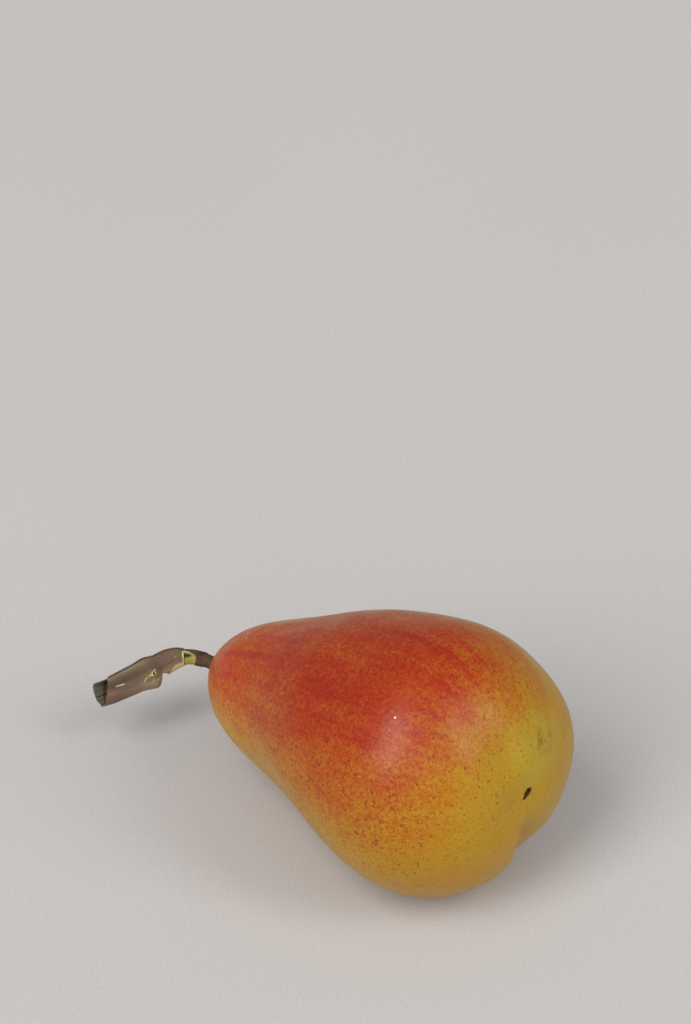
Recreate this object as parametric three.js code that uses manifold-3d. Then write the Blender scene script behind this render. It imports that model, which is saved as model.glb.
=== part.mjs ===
import * as THREE from 'three';
import { mergeVertices } from 'three/addons/utils/BufferGeometryUtils.js';
import Module from 'manifold-3d';

// A ripe pear lying on its side, with its woody stem, the loose sheath of dried skin round the stem's
// outer end, and the dried sepals in the hollow at the flower end.
// Millimetres and degrees, +Z up. The fruit's core runs along X, with the stem towards -X. The origin is
// on the ground under the middle of the whole model.

// The fruit's side outline. Each pair is a distance along the core, counted from the widest ring towards
// the flower end, and a radius. A smooth curve is drawn close to the points, from pole to pole.
const OUTLINE = [
  [-74.6, 0],
  [-74.6, 2.8],
  [-67.1, 12.8],
  [-57.6, 18.1],
  [-42, 24.2],
  [-25, 32],
  [-8, 35.5],
  [8, 36.7],
  [21.5, 29.6],
  [28.5, 20],
  [31.1, 11.2],
  [31.2, 6],
  [29.6, 0],
];
const STEM_END = OUTLINE[0][0];

// Directions round the core are counted from +Y towards +Z, so the underside is at -90.
// A crease runs from the flower end's hollow out over the lower edge, steeper on its near side.
const CREASE = { at: -83.3, near: 11, far: 19.9, deep: 3.3, starts: 4, full: 29.5 };
// A shallow valley runs up from the hollow on the other side.
const VALLEY = { at: 104, near: 20, far: 24, deep: 1.3, starts: 8, full: 29 };
// Both fade out between these two radii, before they reach the pole.
const HOLLOW_FADE = { from: 2, to: 8 };
// The far cheek is fuller and the near side of the waist is pulled in.
const CHEEK = { at: 1.7, along: 24.7, high: 2, wide: 14, long: 14 };
const WAIST = { at: 203, along: -31, high: -3.6, wide: 18, long: 22 };
// The neck curves up a little, by this much at the stem end.
const NECK_LIFT = 2.05;

// How the pear lies: the neck hangs lower than the belly, and the belly is pressed flat where it rests.
const NECK_DROOP = THREE.MathUtils.degToRad(10);
const PRESSED_FLAT = 0.8;

// How finely the fruit is divided along and round its core, and how much closer near the crease.
const FRUIT_ROWS = 56;
const FRUIT_COLUMNS = 54;
const CREASE_CROWDING = 0.5;

// The stem's middle line, counted from the neck's end: out along the core, then round and forward.
const STEM_ROUTE = [
  [4.9, 0, 0.5],
  [0, 0.2, -0.3],
  [-4.9, -0.2, -0.6],
  [-8.5, -1.5, -1],
  [-11.1, -3.8, -1.4],
  [-12.7, -6.9, -1.9],
  [-14, -10.6, -2.8],
  [-16.8, -17.1, -4.2],
  [-20.9, -26.5, -5.7],
];
// Directions round the stem are counted from this one, which the torn side faces.
const STEM_FRONT = new THREE.Vector3(0.51, -0.6, 0.62);
// Distances along the stem are counted from its root inside the fruit.
// Each pair is a distance and the wood's radius there. The outer end has lost its bark.
const STEM_RADII = [
  [0, 2],
  [4.5, 2],
  [7.5, 1.8],
  [9.6, 2],
  [11, 1.95],
  [11.4, 1.75],
  [14, 1.65],
  [14.8, 1.1],
  [24, 0.8],
];
const STEM_SIDES = 14;
const STEM_STEP = 1.2;
const STEM_RIBS = { count: 5, high: 0.06 };
// The fruit's socket for the stem reaches this far along it, past the skin.
const SOCKET_REACH = 9;

// The sheath is a thin rolled tube, and its outer radius swells where the rolled layer starts.
const SHEATH_RADII = [
  [15.3, 2.4],
  [17.9, 2.95],
  [21.2, 3.3],
  [22.4, 3.8],
  [25.5, 4.5],
  [29, 4.1],
  [33.5, 3.8],
  [43, 3.5],
];
const SHEATH_WALL = 0.7;
const SHEATH_START = 15.3;
const SHEATH_START_TEAR = { waves: 3, long: 0.3 };
// The outer end is cut askew, longer on the side that is turned away.
const SHEATH_END = 40.4;
const SHEATH_END_SKEW = 0.9;
// The roll's outer edge stands up by this much along the top.
const SHEATH_SEAM = { at: 75, high: 0.45 };
const SHEATH_ROWS = 24;
const SHEATH_COLUMNS = 24;

// The dried sepals stand on a short plug in a round pit.
const PIT_RADIUS = 2.1;
const PIT_DEEP = 3;
const PLUG_RADIUS = 1.7;
const PLUG_BELOW = 1.3;
const SEPAL = { count: 5, long: 2.9, wide: 1.5, thick: 0.7, ring: 1.15, lean: 0.16 };

// Pieces that meet keep this much room between them.
const GAP = 0.35;

const wasm = await Module();
wasm.setup();

// Solids from geometries and back

function solidOf(geometry) {
  geometry.deleteAttribute('normal');
  geometry.deleteAttribute('uv');
  const merged = mergeVertices(geometry, 1e-4);
  return new wasm.Manifold(
    new wasm.Mesh({
      numProp: 3,
      vertProperties: new Float32Array(merged.attributes.position.array),
      triVerts: new Uint32Array(merged.index.array),
    }),
  );
}

function geometryOf(solid) {
  const { vertProperties, triVerts } = solid.getMesh();
  const geometry = new THREE.BufferGeometry();
  geometry.setAttribute('position', new THREE.BufferAttribute(vertProperties, 3));
  geometry.setIndex(new THREE.BufferAttribute(triVerts, 1));
  return geometry;
}

// A closed skin over a grid of points: each row is a ring, and each end is gathered into one point.
function ringedGeometry(rings, firstTip, lastTip) {
  const columns = rings[0].length;
  const points = [firstTip, ...rings.flat(), lastTip];
  const at = (row, column) => 1 + row * columns + (column % columns);
  const last = points.length - 1;
  const index = [];
  for (let column = 0; column < columns; column += 1) {
    index.push(0, at(0, column + 1), at(0, column));
    for (let row = 0; row < rings.length - 1; row += 1) {
      index.push(at(row, column), at(row, column + 1), at(row + 1, column));
      index.push(at(row, column + 1), at(row + 1, column + 1), at(row + 1, column));
    }
    index.push(last, at(rings.length - 1, column), at(rings.length - 1, column + 1));
  }
  const geometry = new THREE.BufferGeometry().setFromPoints(points);
  geometry.setIndex(index);
  return geometry;
}

// A closed skin over rings that follow each other round and come back to the first.
function loopedGeometry(rings) {
  const columns = rings[0].length;
  const at = (row, column) => (row % rings.length) * columns + (column % columns);
  const index = [];
  for (let row = 0; row < rings.length; row += 1) {
    for (let column = 0; column < columns; column += 1) {
      index.push(at(row, column), at(row, column + 1), at(row + 1, column));
      index.push(at(row, column + 1), at(row + 1, column + 1), at(row + 1, column));
    }
  }
  const geometry = new THREE.BufferGeometry().setFromPoints(rings.flat());
  geometry.setIndex(index);
  return geometry;
}

// Value at a distance, in straight steps between pairs of distance and value.
function stepped(pairs, distance) {
  const next = pairs.findIndex(([where]) => where > distance);
  if (next === 0) return pairs[0][1];
  if (next < 0) return pairs[pairs.length - 1][1];
  const [from, low] = pairs[next - 1];
  const [to, high] = pairs[next];
  return THREE.MathUtils.mapLinear(distance, from, to, low, high);
}

// The fruit

// Point of the side outline and its outward direction, with t from 0 at the stem end to 1.
function outlineAt(t) {
  const spans = OUTLINE.length - 1;
  const [, [firstX, firstR]] = OUTLINE;
  const [lastX, lastR] = OUTLINE[spans - 1];
  const points = [[firstX, -firstR], ...OUTLINE, [lastX, -lastR]];
  const span = Math.min(Math.floor(t * spans), spans - 1);
  const f = t * spans - span;
  const g = 1 - f;
  const weights = [g ** 3, 3 * f ** 3 - 6 * f * f + 4, 3 * g ** 3 - 6 * g * g + 4, f ** 3];
  const slopes = [-g * g, f * (3 * f - 4), g * (4 - 3 * g), f * f];
  const blend = (parts, axis) => parts.reduce((sum, part, i) => sum + part * points[span + i][axis], 0);
  const direction = new THREE.Vector2(blend(slopes, 0), blend(slopes, 1)).normalize();
  return {
    along: blend(weights, 0) / 6,
    radius: blend(weights, 1) / 6,
    outAlong: -direction.y,
    outRadius: direction.x,
  };
}

function turnsFrom(angle, degrees) {
  const turned = angle - THREE.MathUtils.degToRad(degrees);
  return Math.atan2(Math.sin(turned), Math.cos(turned));
}

function furrow(shape, along, radius, angle) {
  const turned = turnsFrom(angle, shape.at);
  const width = THREE.MathUtils.degToRad(turned < 0 ? shape.near : shape.far);
  const fadeIn = THREE.MathUtils.smoothstep(along, shape.starts, shape.full);
  const fadeOut = THREE.MathUtils.smoothstep(radius, HOLLOW_FADE.from, HOLLOW_FADE.to);
  return -shape.deep * Math.exp(-((turned / width) ** 2)) * fadeIn * fadeOut;
}

function swelling(shape, along, radius, angle) {
  const across = (turnsFrom(angle, shape.at) * radius) / shape.wide;
  const lengthwise = (along - shape.along) / shape.long;
  return shape.high * Math.exp(-(across ** 2) - lengthwise ** 2);
}

// Point of the skin, with the core along X.
function skinPoint(t, angle) {
  const { along, radius, outAlong, outRadius } = outlineAt(t);
  const raised =
    furrow(CREASE, along, radius, angle) +
    furrow(VALLEY, along, radius, angle) +
    swelling(CHEEK, along, radius, angle) +
    swelling(WAIST, along, radius, angle);
  const x = along + raised * outAlong;
  const r = radius + raised * outRadius;
  const lift = NECK_LIFT * THREE.MathUtils.clamp(x / STEM_END, 0, 1) ** 2;
  return new THREE.Vector3(x, r * Math.cos(angle), r * Math.sin(angle) + lift);
}

// Directions round the core, closer together near the crease.
function skinAngle(column) {
  const even = (2 * Math.PI * column) / FRUIT_COLUMNS;
  return even - CREASE_CROWDING * Math.sin(turnsFrom(even, CREASE.at));
}

function skinGeometry() {
  const rings = [];
  for (let row = 1; row < FRUIT_ROWS; row += 1) {
    const ring = [];
    for (let column = 0; column < FRUIT_COLUMNS; column += 1) {
      ring.push(skinPoint(row / FRUIT_ROWS, skinAngle(column)));
    }
    rings.push(ring);
  }
  return ringedGeometry(rings, skinPoint(0, 0), skinPoint(1, 0));
}

// Turns a shape built along the core to the way the pear lies, then sets it down to the ground.
function layDown(geometry, drop) {
  return geometry.rotateY(-NECK_DROOP).translate(0, 0, drop);
}

const skin = skinGeometry();
const untouched = skin.clone().rotateY(-NECK_DROOP);
untouched.computeBoundingBox();
const drop = -untouched.boundingBox.min.z - PRESSED_FLAT;

// The stem

const sideways = new THREE.Vector3(0, 1, 0);
const neckEnd = skinPoint(0, 0).applyAxisAngle(sideways, -NECK_DROOP);
neckEnd.z += drop;
const stemLine = new THREE.CatmullRomCurve3(
  STEM_ROUTE.map(([x, y, z]) => new THREE.Vector3(x, y, z).add(neckEnd)),
);
const stemLineLength = stemLine.getLength();

// Point at a distance along the stem, a direction round it and a radius.
function roundStem(distance, angle, radius) {
  const u = distance / stemLineLength;
  const tangent = stemLine.getTangentAt(u);
  const front = STEM_FRONT.clone().addScaledVector(tangent, -STEM_FRONT.dot(tangent)).normalize();
  const side = new THREE.Vector3().crossVectors(tangent, front);
  return stemLine
    .getPointAt(u)
    .addScaledVector(front, radius * Math.cos(angle))
    .addScaledVector(side, radius * Math.sin(angle));
}

function stemRing(distance, extra) {
  const ring = [];
  for (let side = 0; side < STEM_SIDES; side += 1) {
    const angle = (2 * Math.PI * side) / STEM_SIDES;
    const rib = STEM_RIBS.high * Math.cos(STEM_RIBS.count * angle);
    ring.push(roundStem(distance, angle, stepped(STEM_RADII, distance) + rib + extra));
  }
  return ring;
}

function stemGeometry(from, to, extra) {
  const steps = Math.ceil((to - from) / STEM_STEP);
  const rings = [];
  for (let step = 0; step <= steps; step += 1) {
    rings.push(stemRing(from + ((to - from) * step) / steps, extra));
  }
  return ringedGeometry(rings, roundStem(from, 0, 0), roundStem(to, 0, 0));
}

function stem() {
  const woodEnd = STEM_RADII[STEM_RADII.length - 1][0];
  return stemGeometry(GAP, woodEnd, 0);
}

// The fruit keeps a socket that is a little wider than the stem.
function stemSocket() {
  return solidOf(stemGeometry(0, SOCKET_REACH, GAP));
}

// The sheath

function sheathRadius(distance, angle) {
  const rolled = turnsFrom(angle, SHEATH_SEAM.at + 180) / (2 * Math.PI) + 0.5;
  return stepped(SHEATH_RADII, distance) - SHEATH_SEAM.high * rolled;
}

function sheathRing(share, inset) {
  const ring = [];
  for (let column = 0; column < SHEATH_COLUMNS; column += 1) {
    const angle = (2 * Math.PI * column) / SHEATH_COLUMNS;
    const tear = SHEATH_START_TEAR.long * Math.sin(SHEATH_START_TEAR.waves * angle);
    const start = SHEATH_START + tear;
    const end = SHEATH_END - SHEATH_END_SKEW * Math.cos(angle);
    const distance = THREE.MathUtils.lerp(start, end, share);
    ring.push(roundStem(distance, angle, sheathRadius(distance, angle) - inset));
  }
  return ring;
}

function sheath() {
  const outside = [];
  const inside = [];
  for (let row = 0; row <= SHEATH_ROWS; row += 1) {
    outside.push(sheathRing(row / SHEATH_ROWS, 0));
    inside.unshift(sheathRing(row / SHEATH_ROWS, SHEATH_WALL));
  }
  return loopedGeometry([...outside, ...inside]);
}

// The flower end's dried sepals

const flowerEnd = skinPoint(1, 0);

function pit() {
  const reach = 2 * PIT_DEEP;
  const geometry = new THREE.CylinderGeometry(PIT_RADIUS, PIT_RADIUS, reach, 20);
  geometry.rotateZ(-Math.PI / 2).translate(flowerEnd.x - PIT_DEEP + reach / 2, 0, 0);
  return solidOf(layDown(geometry, drop));
}

function sepal(number) {
  const geometry = new THREE.ConeGeometry(SEPAL.wide / 2, SEPAL.long, 6, 1);
  geometry.scale(1, 1, SEPAL.thick / SEPAL.wide);
  geometry.translate(0, SEPAL.long / 2 - GAP, 0);
  geometry.rotateX(SEPAL.lean);
  geometry.translate(0, 0, SEPAL.ring);
  geometry.rotateY((2 * Math.PI * number) / SEPAL.count);
  return geometry.rotateZ(-Math.PI / 2).translate(flowerEnd.x - PLUG_BELOW, 0, 0);
}

function sepals() {
  const plugLong = PIT_DEEP - PLUG_BELOW - GAP;
  const plug = new THREE.CylinderGeometry(PLUG_RADIUS, PLUG_RADIUS * 0.8, plugLong, 16);
  plug.rotateZ(-Math.PI / 2).translate(flowerEnd.x - PLUG_BELOW - plugLong / 2, 0, 0);
  let solid = solidOf(layDown(plug, drop));
  for (let number = 0; number < SEPAL.count; number += 1) {
    solid = solid.add(solidOf(layDown(sepal(number), drop)));
  }
  return geometryOf(solid);
}

// The whole fruit: the skin's solid, less the socket, the pit and what the ground presses flat.
function fruit() {
  const ground = new THREE.BoxGeometry(200, 200, 20).translate(0, 0, -10);
  const solid = solidOf(layDown(skin, drop))
    .subtract(solidOf(ground))
    .subtract(stemSocket())
    .subtract(pit());
  return geometryOf(solid);
}

function finish(color, roughness) {
  return new THREE.MeshStandardMaterial({ color, roughness, metalness: 0 });
}

function piece(name, geometry, material) {
  const mesh = new THREE.Mesh(geometry, material);
  mesh.name = name;
  return mesh;
}

const pear = new THREE.Group();
pear.add(
  piece('fruit', fruit(), finish(0xc9752e, 0.42)),
  piece('stem', stem(), finish(0x6b5340, 0.8)),
  piece('stem_sheath', sheath(), finish(0x7a6653, 0.85)),
  piece('calyx', sepals(), finish(0x2e2418, 0.9)),
);

// The origin goes under the middle of the whole model.
const reach = new THREE.Box3().setFromObject(pear);
const middle = reach.getCenter(new THREE.Vector3());
pear.position.set(-middle.x, -middle.y, 0);

export default pear;
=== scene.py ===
import math

import bpy
import numpy as np
from bpy.props import FloatProperty, FloatVectorProperty, IntProperty, PointerProperty
from mathutils import Matrix, Vector, noise


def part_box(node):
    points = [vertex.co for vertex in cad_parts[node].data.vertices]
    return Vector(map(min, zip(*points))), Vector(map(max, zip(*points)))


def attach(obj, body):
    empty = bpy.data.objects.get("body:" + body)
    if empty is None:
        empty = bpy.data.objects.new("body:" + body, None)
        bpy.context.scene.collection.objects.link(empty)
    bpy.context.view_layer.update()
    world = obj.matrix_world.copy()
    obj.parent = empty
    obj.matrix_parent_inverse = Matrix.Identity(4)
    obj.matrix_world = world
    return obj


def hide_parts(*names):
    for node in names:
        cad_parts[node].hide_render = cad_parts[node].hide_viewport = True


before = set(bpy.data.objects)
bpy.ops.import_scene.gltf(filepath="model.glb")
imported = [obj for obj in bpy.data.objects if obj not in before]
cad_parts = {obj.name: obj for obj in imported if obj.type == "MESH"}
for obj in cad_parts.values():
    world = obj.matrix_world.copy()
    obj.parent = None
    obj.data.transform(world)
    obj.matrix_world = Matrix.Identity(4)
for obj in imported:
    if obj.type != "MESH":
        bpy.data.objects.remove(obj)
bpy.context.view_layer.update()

# A ripe pear lying on its side, with its woody stem, the loose sheath of dried skin round the stem's
# outer end, and the dried sepals in the hollow at the flower end. Metres and radians, +Z up.

bl_info = {
    "name": "Ripe pear",
    "version": (1, 0, 0),
    "blender": (4, 5, 0),
    "location": "View3D > Sidebar > Pear",
    "description": "Builds a ripe red and yellow pear with its stem, and a plain stage to show it on",
    "category": "Add Mesh",
}

FRUIT_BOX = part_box("fruit")
MM = 0.001

# The fruit's side outline. Each pair is a distance along the core, counted from the widest ring
# towards the flower end, and a radius. A smooth curve is drawn close to the points, from pole to pole.
OUTLINE = np.array(
    [(-74.6, 0), (-74.6, 2.8), (-67.1, 12.8), (-57.6, 18.1), (-42, 24.2), (-25, 32), (-8, 35.5)]
    + [(8, 36.7), (21.5, 29.6), (28.5, 20), (31.1, 11.2), (31.2, 6), (29.6, 0)]
) * MM
STEM_POLE = OUTLINE[0][0]

# Directions round the core are counted from +Y towards +Z, so the underside is at -90 degrees.
# A crease runs from the flower end's hollow out over the lower edge, steeper on its near side, and a
# shallow valley runs up from the hollow on the other side.
CREASE = {"at": -83.3, "near": 11, "far": 19.9, "starts": 4 * MM, "full": 29.5 * MM}
VALLEY = {"at": 104, "near": 20, "far": 24, "starts": 8 * MM, "full": 29 * MM}
HOLLOW_FADE = (3 * MM, 17 * MM)
# Near the hollow the crease bends so many degrees towards the near side. The bend fades out from the core.
CREASE_BEND = 10
BEND_FADE = (8 * MM, 24 * MM)
# The pit in the hollow is a slit that lies in this direction. Its width as a share of its length, and
# how much wider it is towards one end.
PIT_AT = 35
PIT_NARROW = 0.52
PIT_EGG = 0.35
# The low lip round the pit and the ring of folds round the stem, by their distance from the core.
PIT_LIP = {"at": 2.3 * MM, "wide": 0.9 * MM}
FOLD_RING = {"at": 4.6 * MM, "wide": 2.2 * MM}
STEM_DIP_RADIUS = 3.1 * MM
# The gentle lumps start to show at this distance from the core and are full at the second.
LUMPS_START = (5 * MM, 12 * MM)
# The far cheek is fuller and the near side of the waist is pulled in.
CHEEK = {"at": 1.7, "along": 24.7 * MM, "wide": 14 * MM, "long": 14 * MM}
WAIST = {"at": 203, "along": -31 * MM, "wide": 18 * MM, "long": 22 * MM}
# Rows along the core are closer near both poles, and columns are closer near the crease.
ROWS = ((0.0, 0.08, 36), (0.08, 0.93, 200), (0.93, 1.0, 54))
CREASE_CROWDING = 0.5

# The stem's middle line, counted from the neck's end: out along the core, then round and forward.
STEM_ROUTE = np.array(
    [(4.9, 0, 0.5), (0, 0.2, -0.3), (-4.9, -0.2, -0.6), (-8.5, -1.5, -1), (-11.1, -3.8, -1.4)]
    + [(-12.7, -6.9, -1.9), (-14, -10.6, -2.8), (-16.8, -17.1, -4.2), (-20.9, -26.5, -5.7)]
) * MM
ROUTE_STEPS = 40
# Directions round the stem are counted from this one, which the torn side faces.
STEM_FRONT = np.array((0.51, -0.6, 0.62))
# Distances along the stem are counted from its root inside the fruit. These are its radii there.
BARK_RADII = np.array(
    [(0, 2), (4.5, 2.05), (7.5, 1.8), (8.8, 1.85), (9.8, 2.05), (11.4, 2.05), (13.5, 2.2), (16, 2.3)]
) * MM
WOOD_RADII = np.array(
    [(0, 1.6), (11.4, 1.85), (13, 1.92), (14.5, 1.85), (16, 1.5), (19, 1.1), (24, 0.8)]
) * MM
STEM_RADIUS = 2 * MM
STEM_SPAN = (0.35 * MM, 24 * MM)
STEM_ROWS = 170
STEM_COLUMNS = 96
# Where the bark is torn away: above this direction, past this distance. A strip above it stays, and
# widens by so many degrees towards the root.
WINDOW = {"low": -112, "high": 57, "starts": 11.5 * MM, "ends": 15.3 * MM, "widens": 48}
STRIP_ENDS = 16.5 * MM
# A hollow inside the window, its dark colour painted shade, and the knot before it.
WINDOW_HOLLOW = {"at": 32, "wide": 30, "along": 14.4 * MM, "long": 1.5 * MM}
KNOT = {"at": 40, "wide": 34, "along": 9.9 * MM, "long": 0.8 * MM}

# The sheath is a thin skin, rolled up with an overlap. It swells where it comes loose. These are its
# radii along its upper and its lower side.
SHEATH_UPPER = np.array(
    [(15, 2.5), (17, 3.1), (20, 3.6), (22.4, 3.7), (24.5, 4.3), (26, 4.5)]
    + [(29, 4.15), (32.7, 3.95), (36.5, 3.6), (42, 4.1)]
) * MM
SHEATH_LOWER = np.array(
    [(15, 2.4), (17.8, 3.0), (21, 3.45), (23, 3.6), (24.6, 4.75), (25.6, 5.2)]
    + [(27.5, 4.75), (29.4, 4.3), (33, 4.15), (36.7, 4.2), (42, 3.6)]
) * MM
# Its usual radius, and its usual width when it is unrolled.
SHEATH_RADIUS = 3.6 * MM
SHEATH_WIDTH = 0.027
SHEATH_SPAN = (15.1 * MM, 41.4 * MM)
SHEATH_ROWS = 184
SHEATH_COLUMNS = 190
# The roll's outer edge lies in this direction, and its inner edge so many degrees past a full turn.
ROLL = {"at": 104, "overlap": 84}
# The layer on top ends here.
TOP_LAYER_ENDS = 36.5 * MM
# Where the rest ends, with the direction round the roll. The side that faces forward is cut shorter.
SHEATH_RIM = np.array(
    [(0, 38.9), (30, 38.0), (60, 37.2), (92, 36.4), (104, 40.7), (150, 41.2), (200, 41.3)]
    + [(250, 41.0), (274, 40.7), (290, 40.3), (330, 39.7), (360, 38.9)]
) * (1, MM)
# How far below the front the pale torn part starts, in degrees, with the distance along the stem.
TORN_LOW = np.array([(15, 44), (16.4, 14), (18.5, 14), (20.3, 34), (21.4, 62)]) * (MM, 1)
# How far out the inner face is painted dark brown, as shade deep inside the roll, with the direction round
# the roll.
INNER_SHADE_REACH = np.array([(104, 38), (150, 38.5), (180, 39.1), (250, 40.2), (270, 40.5)]) * (1, MM)
# A wedge is torn out of the lower side, between the close-fitting part and the flap.
WEDGE = {"tip": 38, "along": 23.2 * MM, "near": 21.2 * MM, "far": 25.1 * MM}
# A lengthwise dent along the side that faces forward, and a small hole beside it.
DENT = {"at": 16, "wide": 22, "deep": 0.34 * MM, "starts": 22 * MM, "full": 27 * MM}
HOLE = {"at": -13, "wide": 5, "along": 25.5 * MM, "long": 0.3 * MM}
# Small pale tears: the distance and direction of both ends and the width.
TEARS = np.array(
    [
        (33.8, -1, 36.2, 5, 0.2),
        (38.4, 27, 38.7, 17, 0.2),
        (17.7, 14, 17.9, 14, 0.2),
        (26.1, -11, 28.0, -17, 0.16),
        (28.0, -17, 28.6, -25, 0.16),
        (24.9, -2, 25.8, -4, 0.16),
        (24.9, -2, 25.2, -18, 0.16),
        (25.8, -4, 25.9, -17, 0.16),
        (25.0, -37, 25.4, -40, 0.18),
        (26.2, -31, 26.5, -35, 0.18),
    ]
) * (MM, 1, MM, 1, MM)

# The blush lies along one flank: its middle direction, how far round it reaches to its upper and its
# lower side, and how red it is, each with the distance along the core.
BLUSH_MIDDLE = np.array([(-60, 134), (20, 117)]) * (MM, 1)
BLUSH_UPWARDS = np.array(
    [(-60, 60), (-48, 70), (-24, 67), (0, 70), (12, 75), (18, 78), (24, 86)]
) * (MM, 1)
BLUSH_DOWNWARDS = np.array([(-60, 48), (-24, 55), (0, 69), (18, 80)]) * (MM, 1)
BLUSH_DEPTH = np.array(
    [(-75, 0.6), (-60, 0.7), (-36, 0.82), (-12, 0.92), (2, 0.92)]
    + [(12, 0.82), (18, 0.7), (24, 0.38), (31, 0)]
) * (MM, 1)
# Each colour of the blush, with the redness where it starts and where it is full.
BLUSH_STEPS = (("gold", 0.02, 0.3), ("orange", 0.3, 0.55), ("red", 0.55, 0.8), ("deep_red", 0.8, 1.2))

# How much paler the neck is in red, green and blue, and where a tiny white spot is painted on the flank as
# a glint, a painted highlight, in the core's axes.
NECK_PALER = (1.18, 1.08, 0.95)
PAINTED_GLINT = (10.2 * MM, -20.35 * MM, 28.1 * MM)

# The dried sepals stand in the pit. How far each bends away from the core, as a share of its length, or
# towards it where this is below 0.
SEPAL_BENDS = (-0.28, 0.1, -0.2, -0.34, -0.05)
SEPAL_ROWS = 12
SEPAL_COLUMNS = 7

# Where the camera stands, from the ground under the belly's widest ring.
CAMERA_FROM_BELLY = Vector((0.4185, -0.51955, 0.63676))
LIGHT_DISTANCE = 8.0
FLOOR_HALF = 4.0


def srgb(red, green, blue):
    """A colour as Blender's linear values, from its values on a screen, 0 to 255."""
    channels = [value / 255 for value in (red, green, blue)]
    return tuple(c / 12.92 if c <= 0.04045 else ((c + 0.055) / 1.055) ** 2.4 for c in channels)


def tint(name, description, default):
    """A colour that the user can change."""
    return FloatVectorProperty(
        name=name, description=description, default=default, subtype="COLOR", min=0.0, max=1.0
    )


def measure(name, description, default):
    """A length in metres that the user can change."""
    return FloatProperty(name=name, description=description, default=default, precision=5, unit="LENGTH")


def amount(name, description, default):
    """A share from 0 to 1 that the user can change."""
    return FloatProperty(
        name=name, description=description, default=default, min=0.0, max=1.0, subtype="FACTOR"
    )


def turn_of(name, description, degrees):
    """An angle that the user can change."""
    return FloatProperty(
        name=name, description=description, default=math.radians(degrees), subtype="ANGLE", unit="ROTATION"
    )


def power_of(name, power):
    """A light's power that the user can change."""
    return FloatProperty(name=name, description=f"Power of the {name.lower()}", default=power, unit="POWER")


class FruitShape(bpy.types.PropertyGroup):
    """The sizes of the fruit's form."""

    columns: IntProperty(name="Columns", description="Points round the core", default=250, min=24)
    neck_droop: turn_of("Neck droop", "How far the neck hangs below the belly's middle", 10)
    neck_lift: measure("Neck lift", "How far the neck curves up at the stem end", 0.00205)
    pressed_flat: measure("Pressed flat", "How deep the belly is pressed in where it lies", 0.0008)
    crease: measure("Crease depth", "Depth of the crease over the lower edge", 0.0033)
    valley: measure("Valley depth", "Depth of the shallow valley above the hollow", 0.001)
    cheek: measure("Cheek height", "How far the far cheek stands out", 0.002)
    waist: measure("Waist depth", "How far the near side of the waist is pulled in", 0.0036)
    lumps: measure("Lump height", "Height of the gentle lumps all over", 0.00022)
    lump_width: measure("Lump width", "Usual width of the gentle lumps", 0.017)
    stem_dip: measure("Stem dip", "Depth of the dip round the stem", 0.0009)
    stem_folds: measure("Stem folds", "Height of the small folds round the stem", 0.00025)
    pit_radius: measure("Pit radius", "Half the length of the pit that holds the sepals", 0.0019)
    pit_depth: measure("Pit depth", "Depth of the pit that holds the sepals", 0.0024)


class SkinLook(bpy.types.PropertyGroup):
    """The colours and texture of the skin."""

    yellow: tint("Yellow", "Ground colour of the shaded side", srgb(181, 133, 6))
    olive: tint("Olive", "Greener ground colour near the flower end", srgb(176, 148, 34))
    gold: tint("Gold", "Where the blush starts", srgb(177, 108, 14))
    orange: tint("Orange", "Between the gold and the red", srgb(175, 86, 12))
    red: tint("Red", "Main colour of the blush", srgb(173, 60, 12))
    deep_red: tint("Deep red", "Darkest streaks of the blush", srgb(160, 32, 8))
    speck_colour: tint("Specks", "Small red-brown specks", srgb(124, 48, 0))
    russet: tint("Russet", "Flecks near the flower end", srgb(134, 84, 16))
    # The pit's wall is painted dark brown: partly the dried calyx's own colour, partly painted shade in the
    # pit.
    pit: tint("Pit", "Dark wall of the pit that holds the sepals", srgb(66, 42, 16))
    # A tiny white spot painted on the flank as a glint: a painted highlight.
    glint: tint("Glint", "A tiny white crumb of wax on the flank", srgb(250, 240, 232))
    grain: measure("Grain size", "Width of the stippled grains", 0.0006)
    speck: measure("Speck size", "Size of the larger specks and of the gaps between them", 0.00105)
    roughness: amount("Roughness", "How matt the skin is", 0.47)
    wax: amount("Wax", "How strong the thin waxy coat is", 0.2)
    bloom: amount("Bloom", "How strong the pale bloom is, seen on the slant", 0.02)
    pores: measure("Pore depth", "Depth of the finest unevenness", 0.00003)


class StemLook(bpy.types.PropertyGroup):
    """The colours and texture of the stem."""

    bark: tint("Bark", "Grey-brown bark", srgb(96, 73, 48))
    bark_dark: tint("Dark bark", "Furrows and the knot", srgb(54, 38, 24))
    green_wood: tint("Green wood", "Fresh layer where the bark is torn away", srgb(152, 140, 44))
    # The hollow's dark colour is painted shade in the gap.
    hollow: tint("Hollow", "Dark gap beside the fresh layer", srgb(58, 54, 32))
    torn_edge: tint("Torn edge", "Pale edge of the torn bark", srgb(200, 192, 134))
    roughness: amount("Roughness", "How matt the bark is", 0.72)
    ridges: measure("Ridge height", "Height of the ridges along the bark", 0.00009)


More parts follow.
